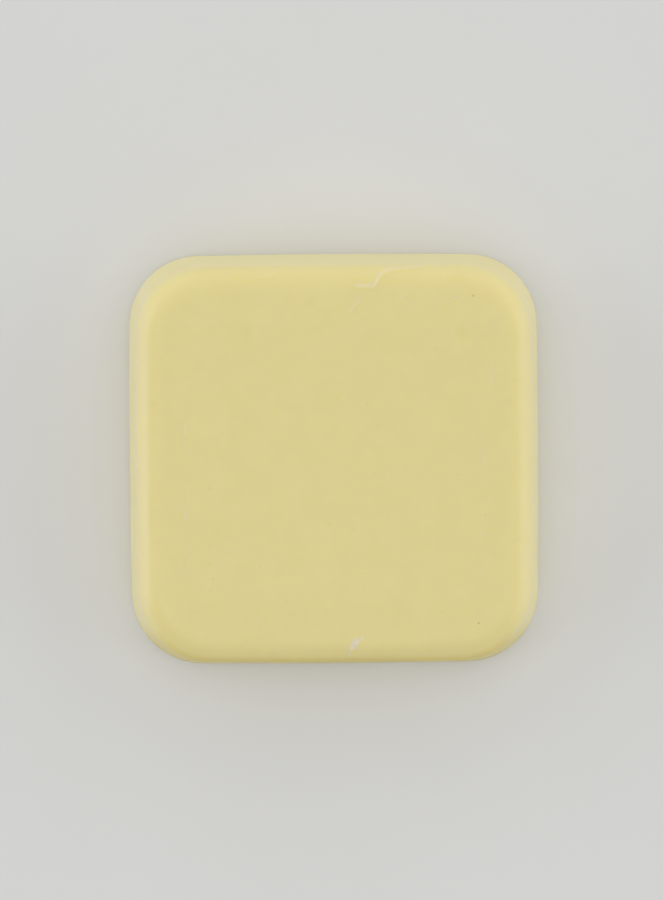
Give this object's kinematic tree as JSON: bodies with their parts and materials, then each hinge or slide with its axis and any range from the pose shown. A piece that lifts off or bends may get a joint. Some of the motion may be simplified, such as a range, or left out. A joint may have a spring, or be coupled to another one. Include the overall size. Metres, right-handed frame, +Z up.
{
  "type": "clay bar",
  "caption": "Square block of soft detailing clay with round corners, leaning sides and round shoulders, rubbed flat over wet car paint to lift grit.",
  "frame": {"origin": "centre of the flat face that the bar rests on", "axes": "+Z up through the bar's thickness, from the resting face, the wider of the two, to the working face; +X and +Y along its two equal sides"},
  "size_m": [0.06, 0.06, 0.015],
  "materials": {
    "clay": "satin"
  },
  "bodies": {
    "root": {"clay_bar": "clay"}
  },
  "joints": []
}
